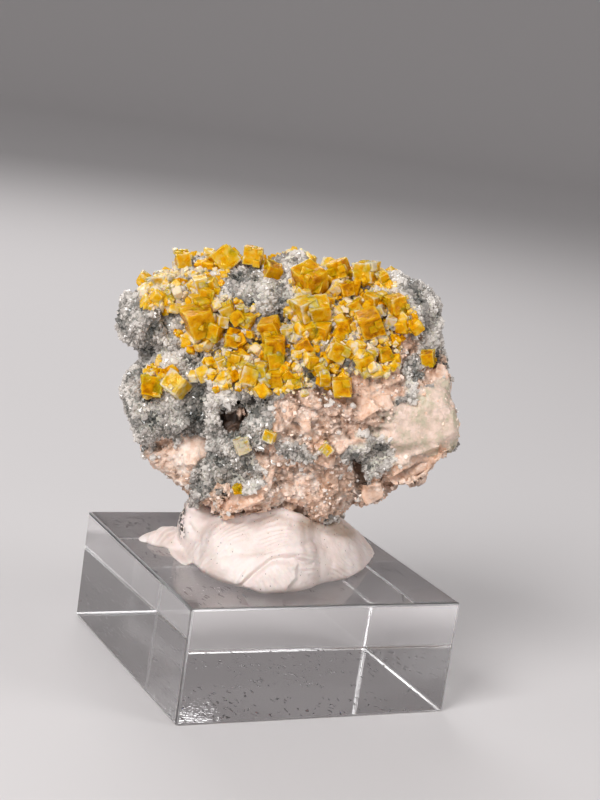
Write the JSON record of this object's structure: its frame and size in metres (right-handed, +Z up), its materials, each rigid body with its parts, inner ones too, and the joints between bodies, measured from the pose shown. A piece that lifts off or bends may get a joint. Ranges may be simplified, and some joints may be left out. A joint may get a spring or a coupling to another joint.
{
  "type": "chabazite mineral specimen on a clear block",
  "caption": "Amber cube-like zeolite crystals on a lumpy pink and grey host rock, stuck with white putty to a square clear acrylic block.",
  "frame": {"origin": "centre of the clear block's underside, on the surface it stands on", "axes": "+Z up, +X along the block's front edge to the right, +Y from the front edge to the back"},
  "size_m": [0.0335, 0.03, 0.0449],
  "materials": {
    "host_rock": "matte",
    "chabazite": "gloss",
    "mounting_putty": "matte",
    "acrylic": "polished"
  },
  "bodies": {
    "root": {"host_rock": "host_rock", "chabazite_01": "chabazite", "chabazite_02": "chabazite", "chabazite_03": "chabazite", "chabazite_04": "chabazite", "chabazite_05": "chabazite", "chabazite_06": "chabazite", "chabazite_07": "chabazite", "chabazite_08": "chabazite", "chabazite_09": "chabazite", "chabazite_10": "chabazite", "chabazite_11": "chabazite", "chabazite_12": "chabazite", "chabazite_13": "chabazite", "chabazite_14": "chabazite", "chabazite_15": "chabazite", "chabazite_16": "chabazite", "chabazite_17": "chabazite", "chabazite_18": "chabazite", "chabazite_19": "chabazite", "chabazite_20": "chabazite", "chabazite_21": "chabazite", "chabazite_22": "chabazite", "chabazite_23": "chabazite", "chabazite_24": "chabazite", "chabazite_25": "chabazite", "chabazite_26": "chabazite", "chabazite_27": "chabazite", "chabazite_28": "chabazite", "chabazite_29": "chabazite", "chabazite_30": "chabazite", "chabazite_31": "chabazite", "chabazite_32": "chabazite", "mounting_putty": "mounting_putty", "acrylic_block": "acrylic"}
  },
  "joints": []
}
